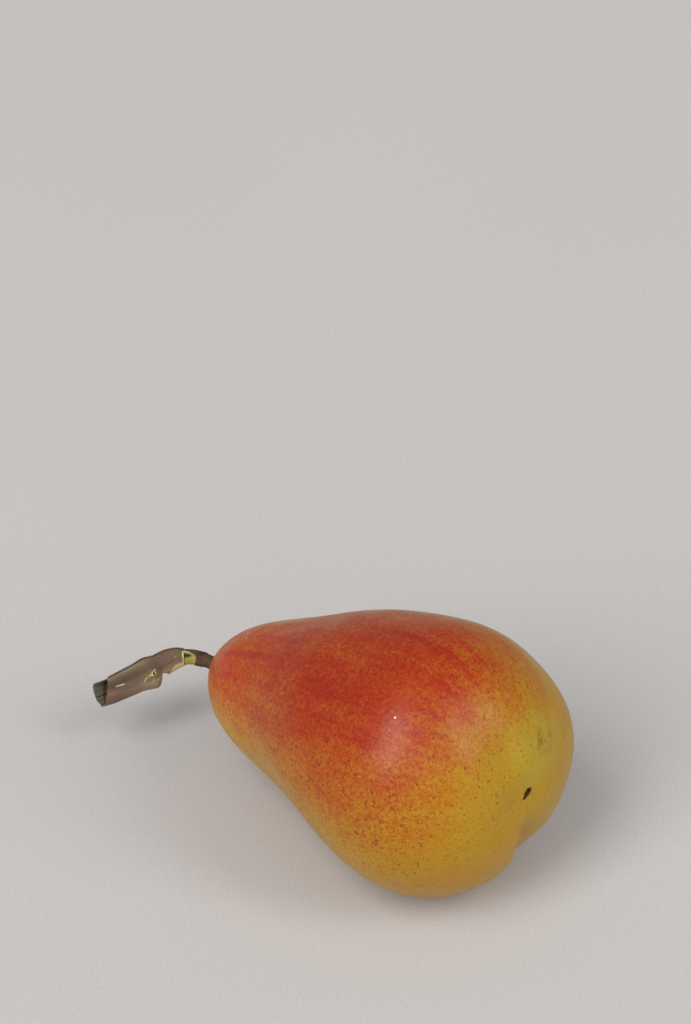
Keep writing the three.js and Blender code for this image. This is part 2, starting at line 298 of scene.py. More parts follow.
class SheathLook(bpy.types.PropertyGroup):
    """The colours and texture of the dried sheath."""

    skin: tint("Skin", "Grey-brown outer skin", srgb(112, 92, 76))
    skin_warm: tint("Warm skin", "Pinkish-brown parts", srgb(130, 102, 84))
    # Also painted along the dent as its shade, and in the dark fibre streaks.
    skin_olive_shade: tint("Olive skin", "Dark olive parts", srgb(76, 60, 38))
    # Painted highlight along the upper side, and paler parts on the lower side towards the fruit.
    skin_pale_highlight: tint("Lighter skin", "Paler, beige parts", srgb(164, 142, 116))
    patch: tint("Patch", "Greenish-yellow patch where a layer is gone", srgb(118, 104, 62))
    pale: tint("Pale edge", "Pale torn edges and small tears", srgb(206, 198, 146))
    inside: tint("Inside", "Grey-green inner face", srgb(104, 106, 90))
    # Also painted deep inside the roll as its shade.
    inside_dark_and_shade: tint("Dark inside", "Brown streaks of the inner face", srgb(74, 60, 46))
    roughness: amount("Roughness", "How matt the sheath is", 0.66)
    thickness: measure("Thickness", "Thickness of the skin", 0.00028)
    overlap_gap: measure("Roll gap", "From one layer of the roll to the next", 0.0006)
    wrinkles: measure("Wrinkle height", "Height of the wrinkles along it", 0.0001)


class SepalLook(bpy.types.PropertyGroup):
    """The sizes and colours of the dried sepals."""

    length: measure("Length", "Length of a sepal", 0.0026)
    width: measure("Width", "Width of a sepal", 0.0015)
    thickness: measure("Thickness", "Thickness of a sepal", 0.00018)
    ring: measure("Ring", "Distance of the sepals' roots from the core", 0.00105)
    dry: tint("Dry brown", "Colour of the sepals", srgb(58, 42, 26))
    tip: tint("Tips", "Paler, greyer tips", srgb(110, 88, 56))
    roughness: amount("Roughness", "How matt the sepals are", 0.85)


class StageLook(bpy.types.PropertyGroup):
    """The floor, the lights and the camera."""

    floor: tint("Floor", "Plain pale floor", (0.62, 0.6, 0.59))
    sky: amount("Sky", "Strength of the even light from all round", 0.29)
    left: power_of("Left light", 390.0)
    right: power_of("Right light", 200.0)
    front: power_of("Front light", 165.0)
    azimuth: turn_of("Azimuth", "Direction of the view, round from the front", 40.7)
    elevation: turn_of("Elevation", "How far the view looks down", 38.09)
    focal: FloatProperty(name="Focal length", description="Lens in millimetres", default=123.4)


class RipePearSettings(bpy.types.PropertyGroup):
    """Everything that can be changed about the pear and its stage."""

    fruit: PointerProperty(type=FruitShape)
    skin: PointerProperty(type=SkinLook)
    stem: PointerProperty(type=StemLook)
    sheath: PointerProperty(type=SheathLook)
    sepals: PointerProperty(type=SepalLook)
    stage: PointerProperty(type=StageLook)


# Small helpers with numbers


def smoothstep(value, low, high):
    """0 below low, 1 above high and an even S between."""
    share = np.clip((value - low) / (high - low), 0, 1)
    return share * share * (3 - 2 * share)


def turned_from(angle, degrees):
    """Angle from a direction given in degrees, the short way round."""
    turned = angle - np.radians(degrees)
    return np.arctan2(np.sin(turned), np.cos(turned))


def degrees_from(angle, degrees):
    """Degrees from a direction given in degrees, the short way round."""
    return np.degrees(turned_from(angle, degrees))


def short_way(degrees):
    """The same direction in degrees, from -180 to 180."""
    return (degrees + 180) % 360 - 180


def mound(across, lengthwise=0):
    """1 in the middle, falling off in a bell's shape."""
    return np.exp(-(across**2) - lengthwise**2)


def stepped(pairs, distance):
    """Value at a distance, in straight steps between pairs of distance and value."""
    return np.interp(distance, pairs[:, 0], pairs[:, 1])


def straightened(distance, angle, radius):
    """Points at distances along a straight line, directions round it and radii."""
    return np.stack([distance, radius * np.cos(angle), radius * np.sin(angle)], -1)


def uneven(points, width, seed):
    """Soft noise from -1 to 1 at each point, with lumps of about this width."""
    offset = Vector((seed, 3 * seed, 7 * seed))
    flat = points.reshape(-1, 3) / width
    values = [noise.noise(Vector(point) + offset) for point in flat.tolist()]
    return np.array(values).reshape(points.shape[:-1])


# The fruit's form


def outline_at(t):
    """Points of the side outline and their outward directions, with t from 0 at the stem end to 1."""
    mirror = np.array((1.0, -1.0))
    points = np.vstack([OUTLINE[1] * mirror, OUTLINE, OUTLINE[-2] * mirror])
    spans = len(OUTLINE) - 1
    span = np.minimum((t * spans).astype(int), spans - 1)
    f = (t * spans - span)[:, None]
    g = 1 - f
    weights = (g**3, 3 * f**3 - 6 * f * f + 4, 3 * g**3 - 6 * g * g + 4, f**3)
    slopes = (-g * g, f * (3 * f - 4), g * (4 - 3 * g), f * f)
    place = sum(weight * points[span + i] for i, weight in enumerate(weights)) / 6
    direction = sum(slope * points[span + i] for i, slope in enumerate(slopes))
    direction /= np.linalg.norm(direction, axis=1)[:, None]
    outward = np.stack([-direction[:, 1], direction[:, 0]], 1)
    return place, outward


def furrow(shape, depth, along, radius, angle):
    """How far a furrow lowers the skin."""
    bend = CREASE_BEND * (1 - smoothstep(radius, *BEND_FADE)) * (shape is CREASE)
    turned = turned_from(angle + np.radians(bend), shape["at"])
    width = np.radians(np.where(turned < 0, shape["near"], shape["far"]))
    fade_in = smoothstep(along, shape["starts"], shape["full"])
    return -depth * mound(turned / width) * fade_in * smoothstep(radius, *HOLLOW_FADE)


def swelling(shape, height, along, radius, angle):
    """How far a swelling raises the skin."""
    across = turned_from(angle, shape["at"]) * radius / shape["wide"]
    return height * mound(across, (along - shape["along"]) / shape["long"])


def main_form(shape, along, radius, angle):
    """The crease, the valley, the cheek and the waist together."""
    return (
        furrow(CREASE, shape.crease, along, radius, angle)
        + furrow(VALLEY, shape.valley, along, radius, angle)
        + swelling(CHEEK, shape.cheek, along, radius, angle)
        + swelling(WAIST, -shape.waist, along, radius, angle)
    )


def pit_edge(shape, angle):
    """The pit's radius in each direction. It is a slit with a slightly ragged edge."""
    turned = turned_from(angle, PIT_AT)
    width = PIT_NARROW * (1 + PIT_EGG * np.cos(turned))
    slit = shape.pit_radius / np.hypot(np.sin(turned) / width, np.cos(turned))
    return slit * (1 + 0.1 * np.cos(9 * angle))


def fine_form(shape, along, radius, angle):
    """The gentle lumps, the dip and folds round the stem, and the pit for the sepals."""
    spots = straightened(along, angle, radius)
    lumps = shape.lumps * uneven(spots, shape.lump_width, 1.3) * smoothstep(radius, *LUMPS_START)
    stem_side = along < 0
    dip = -shape.stem_dip * mound(radius / STEM_DIP_RADIUS) * stem_side
    ring = mound((radius - FOLD_RING["at"]) / FOLD_RING["wide"]) * stem_side
    folds = shape.stem_folds * ring * (0.6 * np.cos(5 * angle + 0.6) + 0.4 * np.cos(3 * angle))
    lip = 0.04 * shape.pit_depth * mound((radius - PIT_LIP["at"]) / PIT_LIP["wide"])
    edge = pit_edge(shape, angle)
    well = -shape.pit_depth * (1 - smoothstep(radius, 0.62 * edge, 1.12 * edge))
    return lumps + dip + folds + (lip + well) * ~stem_side


def core_to_row(shape, points):
    """Turns points from the core's own axes to the way the pear lies, not yet set down."""
    droop = shape.neck_droop
    x, y, z = np.moveaxis(points, -1, 0)
    turned_x = x * math.cos(droop) - z * math.sin(droop)
    turned_z = x * math.sin(droop) + z * math.cos(droop)
    return np.stack([turned_x, y, turned_z], -1)


def skin_points(shape, t, angle, with_detail):
    """Points of the skin in the core's axes, and where each is along and round the core."""
    place, outward = outline_at(t)
    along = np.repeat(place[:, :1], len(angle), 1)
    radius = np.repeat(place[:, 1:], len(angle), 1)
    turned = np.broadcast_to(angle, along.shape)
    raised = main_form(shape, along, radius, turned)
    if with_detail:
        raised = raised + fine_form(shape, along, radius, turned)
    x = along + raised * outward[:, :1]
    r = radius + raised * outward[:, 1:]
    lift = shape.neck_lift * np.clip(x / STEM_POLE, 0, 1) ** 2
    points = np.stack([x, r * np.cos(turned), r * np.sin(turned) + lift], -1)
    return points, along, turned


def set_down(shape):
    """The move that puts the turned fruit where the frame has it."""
    t = np.linspace(0, 1, 241)
    angle = np.linspace(0, 2 * np.pi, 240, endpoint=False)
    points, _, _ = skin_points(shape, t, angle, False)
    turned = core_to_row(shape, points).reshape(-1, 3)
    low, high = turned.min(0), turned.max(0)
    box_low, box_high = (np.array(corner) for corner in FRUIT_BOX)
    middle_y = (box_low[1] + box_high[1] - low[1] - high[1]) / 2
    return np.array((box_high[0] - high[0], middle_y, -low[2] - shape.pressed_flat))


def ring_faces(rows, columns):
    """Faces of a closed skin: a pole, rings of points, and a second pole."""
    at = 1 + np.arange(rows * columns).reshape(rows, columns)
    after = np.roll(at, -1, 1)
    last = rows * columns + 1
    quads = np.stack([at[:-1], after[:-1], after[1:], at[1:]], -1).reshape(-1, 4)
    first_cap = [(0, int(b), int(a)) for a, b in zip(at[0], after[0])]
    last_cap = [(last, int(a), int(b)) for a, b in zip(at[-1], after[-1])]
    return quads.tolist() + first_cap + last_cap


def new_object(name, data):
    """A new object in the scene."""
    made = bpy.data.objects.new(name, data)
    bpy.context.scene.collection.objects.link(made)
    return made


def new_piece(name, points, faces, materials):
    """A new smooth object made of these points and faces."""
    mesh = bpy.data.meshes.new(name)
    mesh.from_pydata(np.asarray(points).reshape(-1, 3).tolist(), [], faces)
    for material in materials:
        mesh.materials.append(material)
    mesh.shade_smooth()
    mesh.update()
    return new_object(name, mesh)


def keep_values(piece, layers):
    """Keeps a number or a vector for each point under each name, which the material reads."""
    for name, values in layers.items():
        vector = values.ndim == 2
        layer = piece.data.attributes.new(name, "FLOAT_VECTOR" if vector else "FLOAT", "POINT")
        layer.data.foreach_set("vector" if vector else "value", values.astype(np.float32).ravel())


def ringed(grid):
    """A grid of values as one list, with the first and last rows gathered into poles."""
    return np.concatenate([grid[0][:1], grid[1:-1].reshape((-1,) + grid.shape[2:]), grid[-1][:1]])


def capped(grid):
    """A grid of values as one list, with the first and last values once more for the poles."""
    return np.concatenate([grid[0, :1], grid.reshape((-1,) + grid.shape[2:]), grid[-1, :1]])


# Material building


class Paint:
    """Builds a material. Each call adds a node and gives back its output."""

    def __init__(self, name):
        self.material = bpy.data.materials.new(name)
        self.material.use_nodes = True
        self.tree = self.material.node_tree
        self.shader = self.tree.nodes["Principled BSDF"]

    def feed(self, socket, value):
        """Joins an output to a socket, or sets the socket to a plain value."""
        if isinstance(value, bpy.types.NodeSocket):
            self.tree.links.new(value, socket)
        elif socket.type == "RGBA" and len(value) == 3:
            socket.default_value = (*value, 1.0)
        else:
            socket.default_value = value

    def node(self, kind, settings, inputs):
        """A new node with these settings and inputs."""
        node = self.tree.nodes.new(kind)
        for name, value in settings.items():
            setattr(node, name, value)
        for name, value in inputs.items():
            self.feed(node.inputs[name], value)
        return node

    def set(self, **values):
        """Sets the shader's own inputs, with spaces written as underscores."""
        for name, value in values.items():
            self.feed(self.shader.inputs[name.replace("_", " ")], value)

    def vector(self, name):
        """A vector that the mesh keeps."""
        return self.node("ShaderNodeAttribute", {"attribute_name": name}, {}).outputs["Vector"]

    def number(self, name):
        """A number that the mesh keeps."""
        return self.node("ShaderNodeAttribute", {"attribute_name": name}, {}).outputs["Fac"]

    def math(self, operation, first, second=0.0, limit=False):
        """The result of one operation on two values, kept from 0 to 1 with a limit."""
        settings = {"operation": operation, "use_clamp": limit}
        return self.node("ShaderNodeMath", settings, {0: first, 1: second}).outputs[0]

    def product(self, first, second, limit=False):
        """Two values multiplied, kept from 0 to 1 with a limit."""
        return self.math("MULTIPLY", first, second, limit)

    def sum(self, first, second, limit=False):
        """Two values added up, kept from 0 to 1 with a limit."""
        return self.math("ADD", first, second, limit)

    def less(self, first, second):
        """One value less another."""
        return self.math("SUBTRACT", first, second)

    def times(self, vector, scale):
        """A vector with each axis multiplied by its own number."""
        settings = {"operation": "MULTIPLY"}
        return self.node("ShaderNodeVectorMath", settings, {0: vector, 1: scale}).outputs[0]

    def between(self, value, low, high, to_low=0.0, to_high=1.0):
        """A smooth step from one value to another."""
        settings = {"interpolation_type": "SMOOTHSTEP"}
        inputs = {"Value": value, "From Min": low, "From Max": high, "To Min": to_low, "To Max": to_high}
        return self.node("ShaderNodeMapRange", settings, inputs).outputs["Result"]

    def rise(self, value, low, high):
        """A straight rise from 0 to 1."""
        inputs = {"Value": value, "From Min": low, "From Max": high}
        return self.node("ShaderNodeMapRange", {}, inputs).outputs["Result"]

    def clouds(self, vector, scale, detail=2.0, roughness=0.5):
        """Soft noise round 0.5."""
        inputs = {"Vector": vector, "Scale": scale, "Detail": detail, "Roughness": roughness}
        return self.node("ShaderNodeTexNoise", {}, inputs).outputs["Fac"]

    def fibres(self, vector, along, across, detail, roughness=0.5):
        """Soft noise of one scale along the first axis and another across it."""
        return self.clouds(self.times(vector, (along, across, across)), 1.0, detail, roughness)

    def mix(self, share, first, second):
        """A mix of two colours."""
        node = self.tree.nodes.new("ShaderNodeMix")
        node.data_type = "RGBA"
        self.feed(node.inputs["Factor"], share)
        self.feed(node.inputs[6], first)
        self.feed(node.inputs[7], second)
        return node.outputs[2]

    def bump(self, height, distance, below=None):
        """A fine unevenness of this height on the surface."""
        inputs = {"Height": height, "Distance": distance, "Strength": 1.0}
        node = self.node("ShaderNodeBump", {}, inputs)
        if below is not None:
            self.feed(node.inputs["Normal"], below)
        return node.outputs["Normal"]


# The fruit's skin


def blush_strength(along, angle):
    """How red the skin is, from 0 to 1. The blush ends suddenly above and fades slowly below."""
    aside = short_way(degrees_from(angle, 0) - stepped(BLUSH_MIDDLE, along))
    above = 1 - np.clip(-aside / stepped(BLUSH_UPWARDS, along), 0, 1) ** 3
    below = 1 - np.clip(aside / stepped(BLUSH_DOWNWARDS, along), 0, 1) ** 1.4
    return stepped(BLUSH_DEPTH, along) * above * below


def speck_share(along, angle):
    """How many of the scattered spots show as specks, from 0 to 1."""
    sideways = 1 - 0.5 * smoothstep(np.abs(degrees_from(angle, 140)), 45, 95)
    lengthwise = 1 - 0.35 * smoothstep(along, 14 * MM, 29 * MM)
    return sideways * lengthwise


def green_share(along, angle):
    """Where the yellow turns greenish, near the flower end and high on the far side."""
    high_side = mound(degrees_from(angle, 60) / 34) * smoothstep(along, 25 * MM, 31 * MM)
    near_end = 0.35 * smoothstep(along, 22 * MM, 31 * MM)
    return np.clip(high_side + near_end, 0, 1)


def russet_share(along, radius, angle):
    """Where russet flecks gather, above the hollow on the far side."""
    outwards = (radius - 14.5 * MM) / (3 * MM)
    return mound(degrees_from(angle, 46) / 13, outwards) * (along > 0)


def skin_material(look):
    """Red blush stippled over yellow, with specks, russet flecks and a soft waxy gloss."""
    paint = Paint("pear_skin")
    grown = paint.vector("grown")
    unrolled = paint.vector("unrolled")
    blush = paint.number("blush")

    broad = paint.fibres(unrolled, 30, 190, 3.0, 0.6)
    wisps = paint.fibres(unrolled, 42, 230, 2.0)
    patches = paint.clouds(grown, 130, 3.0)
    mottle = paint.clouds(grown, 0.5 / look.grain, 3.0, 0.65)
    fine = paint.clouds(grown, 1.2 / look.grain, 2.0, 0.6)

    reach = paint.between(blush, 0.0, 0.35, 0.3, 1.0)
    streaks = paint.product(paint.between(wisps, 0.5, 0.74), paint.between(blush, 0.4, 0.8))
    change = paint.product(streaks, 0.34)
    for cloud, height in ((broad, 0.65), (patches, 0.5), (mottle, 1.3), (fine, 1.0)):
        change = paint.sum(change, paint.product(paint.less(cloud, 0.5), height))
    redness = paint.sum(blush, paint.product(change, reach))

    specks = []
    for scale, rarest in ((1 / look.speck, 0.71), (1.9 / look.speck, 0.7)):
        lowest = paint.less(rarest, paint.product(paint.number("specks"), 0.1))
        grains = paint.less(paint.clouds(grown, scale, 1.5, 0.6), lowest)
        specks.append(paint.between(grains, 0.0, 0.05))
    speck = paint.math("MAXIMUM", *specks)
    redness = paint.sum(redness, paint.product(speck, 0.26))

    uneven_green = paint.less(paint.clouds(grown, 60, 3.0), 0.5)
    greener = paint.sum(paint.number("green"), uneven_green, limit=True)
    colour = paint.mix(greener, look.yellow, look.olive)
    for following, low, high in BLUSH_STEPS:
        colour = paint.mix(paint.rise(redness, low, high), colour, getattr(look, following))

    colour = paint.mix(paint.product(speck, 0.5), colour, look.speck_colour)
    colour = paint.mix(paint.number("neck"), colour, paint.times(colour, NECK_PALER))
    # A tiny white spot painted where a glint shows on the flank: a painted highlight.
    from_glint = paint.node("ShaderNodeVectorMath", {"operation": "DISTANCE"}, {0: grown, 1: PAINTED_GLINT})
    glint = paint.between(from_glint.outputs["Value"], 0.2 * MM, 0.34 * MM, 0.9, 0.0)
    colour = paint.mix(glint, colour, look.glint)

    flecks = paint.between(paint.clouds(grown, 420, 3.0, 0.65), 0.46, 0.64)
    colour = paint.mix(paint.product(flecks, paint.number("russet")), colour, look.russet)

    normal = paint.bump(paint.clouds(grown, 260, 2.0), look.pores * 4)
    normal = paint.bump(paint.clouds(grown, 1500, 2.0), look.pores, normal)
    gloss = paint.between(patches, 0.3, 0.7, look.roughness - 0.05, look.roughness + 0.05)
    # The pit's wall is painted dark: its own dark brown together with painted shade in the pit.
    colour = paint.mix(paint.number("pit"), colour, look.pit)
    paint.set(Base_Color=colour, Roughness=gloss, Normal=normal)
    paint.set(Coat_Weight=look.wax, Coat_Roughness=0.26, Specular_IOR_Level=0.23)
    paint.set(Sheen_Weight=look.bloom, Sheen_Roughness=0.45)
    return paint.material


class RIPE_PEAR_OT_fruit(bpy.types.Operator):
    """Makes the fruit's skin, with its crease, hollow, lumps and colours"""

    bl_idname = "ripe_pear.fruit"
    bl_label = "Fruit"

    def execute(self, context):
        settings = context.scene.ripe_pear
        shape = settings.fruit
        t = np.concatenate([np.linspace(low, high, count, endpoint=False) for low, high, count in ROWS])
        t = np.append(t, 1.0)
        even = np.linspace(0, 2 * np.pi, shape.columns, endpoint=False)
        angle = even - CREASE_CROWDING * np.sin(turned_from(even, CREASE["at"]))
        points, along, turned = skin_points(shape, t, angle, True)
        laid = core_to_row(shape, points) + set_down(shape)
        laid[..., 2] = np.maximum(laid[..., 2], 0)
        faces = ring_faces(len(t) - 2, len(angle))
        piece = new_piece("pear_skin", ringed(laid), faces, [skin_material(settings.skin)])
        from_core = np.hypot(points[..., 1], points[..., 2])
        edge = pit_edge(shape, turned)
        layers = {
            "grown": points,
            "unrolled": straightened(points[..., 0], turned, OUTLINE[:, 1].max()),
            "blush": blush_strength(along, turned),
            "specks": speck_share(along, turned),
            "green": green_share(along, turned),
            "russet": russet_share(along, from_core, turned),
            # Where the pit's wall gets its dark colour, partly painted shade.
            "pit": (1 - smoothstep(from_core, 0.85 * edge, 1.1 * edge)) * (along > 0),
            "neck": smoothstep(-along, 28 * MM, 60 * MM),
        }
        keep_values(piece, {name: ringed(values) for name, values in layers.items()})
        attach(piece, "root")
        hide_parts("fruit")
        return {"FINISHED"}


# The stem's line


def stem_line(shape):
    """Points along the stem's middle line and their distances from its root."""
    start, _, _ = skin_points(shape, np.array([0.0]), np.array([0.0]), False)
    neck_end = core_to_row(shape, start)[0, 0] + set_down(shape)
    route = STEM_ROUTE + neck_end
    knots = np.vstack([2 * route[0] - route[1], route, 2 * route[-1] - route[-2]])
    share = np.linspace(0, 1, ROUTE_STEPS, endpoint=False)[:, None]
    points = []
    for before, start, end, after in zip(knots, knots[1:], knots[2:], knots[3:]):
        gaps = [math.sqrt(np.linalg.norm(b - a)) for a, b in ((before, start), (start, end), (end, after))]
        reach = gaps[1]
        leave = (start - before) / gaps[0] - (end - before) / (gaps[0] + reach) + (end - start) / reach
        arrive = (end - start) / reach - (after - start) / (reach + gaps[2]) + (after - end) / gaps[2]
        curve = (
            start * (2 * share**3 - 3 * share**2 + 1)
            + leave * reach * (share**3 - 2 * share**2 + share)
            + end * (3 * share**2 - 2 * share**3)
            + arrive * reach * (share**3 - share**2)
        )
        points.append(curve)
    points = np.vstack(points + [route[-1:]])
    steps = np.linalg.norm(np.diff(points, axis=0), axis=1)
    return points, np.concatenate([[0], np.cumsum(steps)])


def round_stem(line, distance, angle, radius):
    """Points at these distances along the stem, directions round it and radii."""
    points, reached = line
    slopes = np.gradient(points, reached, axis=0)
    middle = np.stack([np.interp(distance, reached, points[:, axis]) for axis in range(3)], -1)
    ahead = np.stack([np.interp(distance, reached, slopes[:, axis]) for axis in range(3)], -1)
    ahead /= np.linalg.norm(ahead, axis=-1, keepdims=True)
    front = STEM_FRONT - (ahead @ STEM_FRONT)[..., None] * ahead
    front /= np.linalg.norm(front, axis=-1, keepdims=True)
    side = np.cross(ahead, front)
    return middle + radius[..., None] * (np.cos(angle)[..., None] * front + np.sin(angle)[..., None] * side)


def spot(shape, distance, angle):
    """1 in the middle of a spot on the stem, falling off round it."""
    across = degrees_from(angle, shape["at"]) / shape["wide"]
    return mound(across, (distance - shape["along"]) / shape["long"])


# The stem


def bark_cover(distance, angle):
    """1 where the bark is whole and 0 where it is torn away, with a ragged edge between."""
    ragged = uneven(straightened(distance, angle, STEM_RADIUS), 0.9 * MM, 4.1)
    degrees = degrees_from(angle, 0) + 7 * ragged
    share = np.clip((WINDOW["ends"] - distance) / (WINDOW["ends"] - WINDOW["starts"]), 0, 1)
    high = WINDOW["high"] - WINDOW["widens"] * share**1.3
    above = smoothstep(degrees, high - 4, high + 4)
    below = smoothstep(-degrees, -WINDOW["low"] - 4, -WINDOW["low"] + 4)
    starts = WINDOW["starts"] + 0.7 * MM * smoothstep(-degrees, 20, 80) - 0.3 * MM * ragged
    before = 1 - smoothstep(distance, starts - 0.2 * MM, starts)
    strip = 1 - smoothstep(distance, STRIP_ENDS - 0.5 * MM, STRIP_ENDS)
    return np.maximum(before, np.maximum(above, below) * strip)


def stem_material(look):
    """Ridged grey-brown bark, and the yellow-green layer where it is torn away."""
    paint = Paint("stem_bark")
    straight = paint.vector("straight")
    bark = paint.number("bark")
    fibres = paint.fibres(straight, 260, 1500, 4.0, 0.6)
    blotches = paint.clouds(straight, 520, 3.0)
    shade = paint.between(fibres, 0.36, 0.64)
    darker = paint.sum(paint.product(shade, -0.55), paint.number("knot"))
    darker = paint.sum(darker, 0.62, limit=True)
    bark_colour = paint.mix(darker, look.bark, look.bark_dark)
    streaked = paint.mix(paint.between(blotches, 0.42, 0.68), look.green_wood, look.torn_edge)
    fresh = paint.mix(paint.product(shade, 0.5), look.green_wood, streaked)
    # Painted shade: the hollow in the window is coloured dark.
    fresh = paint.mix(paint.number("hollow"), fresh, look.hollow)
    edge = paint.product(paint.between(bark, 0.03, 0.3), paint.between(bark, 0.7, 0.97, 1.0, 0.0))
    colour = paint.mix(bark, fresh, bark_colour)
    colour = paint.mix(paint.product(edge, 0.8), colour, look.torn_edge)
    normal = paint.bump(fibres, look.ridges)
    gloss = paint.between(bark, 0.0, 1.0, look.roughness - 0.3, look.roughness)
    paint.set(Base_Color=colour, Roughness=gloss, Normal=normal, Specular_IOR_Level=0.35)
    return paint.material


class RIPE_PEAR_OT_stem(bpy.types.Operator):
    """Makes the woody stem, with its knot and the torn place in its bark"""

    bl_idname = "ripe_pear.stem"
    bl_label = "Stem"

    def execute(self, context):
        settings = context.scene.ripe_pear
        look = settings.stem
        line = stem_line(settings.fruit)
        distance, angle = np.meshgrid(
            np.linspace(*STEM_SPAN, STEM_ROWS),
            np.linspace(0, 2 * np.pi, STEM_COLUMNS, endpoint=False),
            indexing="ij",
        )
        bark = bark_cover(distance, angle)
        knot = spot(KNOT, distance, angle)
        hollow = spot(WINDOW_HOLLOW, distance, angle) * (1 - bark)
        spots = straightened(distance, angle, STEM_RADIUS)
        ridges = uneven(spots * np.array((0.18, 1, 1)), 0.7 * MM, 2.7)
        inner = stepped(WOOD_RADII, distance) - 0.75 * MM * hollow
        outer = stepped(BARK_RADII, distance) + 0.3 * MM * knot
        radius = inner + (outer - inner) * bark + look.ridges * ridges
        points = round_stem(line, distance, angle, radius)
        tips = round_stem(line, distance[[0, -1], :1], angle[[0, -1], :1], np.zeros((2, 1)))
        points = np.concatenate([tips[0], points.reshape(-1, 3), tips[1]])
        piece = new_piece("pear_stem", points, ring_faces(STEM_ROWS, STEM_COLUMNS), [stem_material(look)])
        hollow = np.clip(1.5 * hollow, 0, 1)
        layers = {"straight": spots, "bark": bark, "knot": 0.5 * knot, "hollow": hollow}
        keep_values(piece, {name: capped(values) for name, values in layers.items()})
        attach(piece, "root")
        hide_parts("stem")
        return {"FINISHED"}


# The dried sheath


def sheath_kept(distance, degrees):
    """Which parts of the rolled skin are there. Degrees run on from the roll's outer edge."""
    spots = straightened(distance, np.radians(degrees), SHEATH_RADIUS)
    ragged = uneven(spots, 1.3 * MM, 5.5) * 0.22 * MM
    place = short_way(degrees)
    below = -place
    distance = distance + ragged
    share = np.clip((below - WEDGE["tip"]) / (90 - WEDGE["tip"]), 0, 1.25) ** 0.7
    low, high = (WEDGE["along"] + (WEDGE[end] - WEDGE["along"]) * share for end in ("near", "far"))
    wedge = (distance > low) & (distance < high) & (below > WEDGE["tip"]) & (below < 160)
    behind = (below > 104) & (below < 160) & (distance < high)
    ends = stepped(SHEATH_RIM, place % 360) + 0.6 * ragged
    distance = distance - ragged * smoothstep(distance, 34 * MM, 36 * MM)
    ends = np.where(degrees < ROLL["at"] + 70, TOP_LAYER_ENDS, ends)
    under = degrees > ROLL["at"] + 360 + 4
    starts = np.where(under, WEDGE["far"], SHEATH_SPAN[0] + 0.25 * MM)
    from_hole = (distance - HOLE["along"]) / HOLE["long"]
    hole = np.hypot(from_hole, (place - HOLE["at"]) / HOLE["wide"]) < 1
    return (distance > starts) & (distance < ends) & ~hole & ~wedge & ~behind


def sheath_radius(distance, degrees):
    """Radius of the sheath's outer face, which spirals in from the roll's outer edge."""
    upper = stepped(SHEATH_UPPER, distance)
    lower = stepped(SHEATH_LOWER, distance)
    lengthwise = smoothstep(distance, DENT["starts"], DENT["full"])
    dent = DENT["deep"] * mound((short_way(degrees) - DENT["at"]) / DENT["wide"]) * lengthwise
    return (upper + lower) / 2 + (upper - lower) / 2 * np.sin(np.radians(degrees)) - dent


def smooth_rim(values, edges):
    """Evens out the stepped rim of a cut sheet a few times."""
    for _ in range(4):
        total = np.zeros_like(values)
        met = np.zeros(len(values))
        for first, second in (edges.T, edges[:, ::-1].T):
            np.add.at(total, first, values[second])
            np.add.at(met, first, 1)
        rim = met > 0
        values[rim] = 0.5 * values[rim] + 0.5 * total[rim] / met[rim][:, None]
    return values


def cut_sheet(kept):
    """Corner numbers of the kept cells of a grid, and of the edges of its rim."""
    rows, columns = kept.shape
    at = np.arange((rows + 1) * (columns + 1)).reshape(rows + 1, columns + 1)
    cells = np.stack([at[:-1, :-1], at[:-1, 1:], at[1:, 1:], at[1:, :-1]], -1)[kept]
    padded = np.pad(kept, 1)
    rim = []
    for shift, first, second in (
        ((-1, 0), at[:-1, :-1], at[:-1, 1:]),
        ((0, 1), at[:-1, 1:], at[1:, 1:]),
        ((1, 0), at[1:, 1:], at[1:, :-1]),
        ((0, -1), at[1:, :-1], at[:-1, :-1]),
    ):
        beyond = padded[1 + shift[0] : 1 + shift[0] + rows, 1 + shift[1] : 1 + shift[1] + columns]
        open_side = kept & ~beyond
        rim.append(np.stack([first[open_side], second[open_side]], -1))
    return cells, np.concatenate(rim)


def line_mark(distance, place, start, end, wide):
    """1 on a straight tear between two spots, each a distance and a direction, fading past its width."""
    scale = SHEATH_RADIUS * math.pi / 180
    point = np.stack([distance, place * scale], -1)
    first, last = (np.array((spot[0], spot[1] * scale)) for spot in (start, end))
    way = last - first
    share = np.clip((point - first) @ way / (way @ way), 0, 1)
    away = np.linalg.norm(point - first - share[:, None] * way, axis=1)
    return 1 - smoothstep(away, 0.5 * wide, 1.2 * wide)


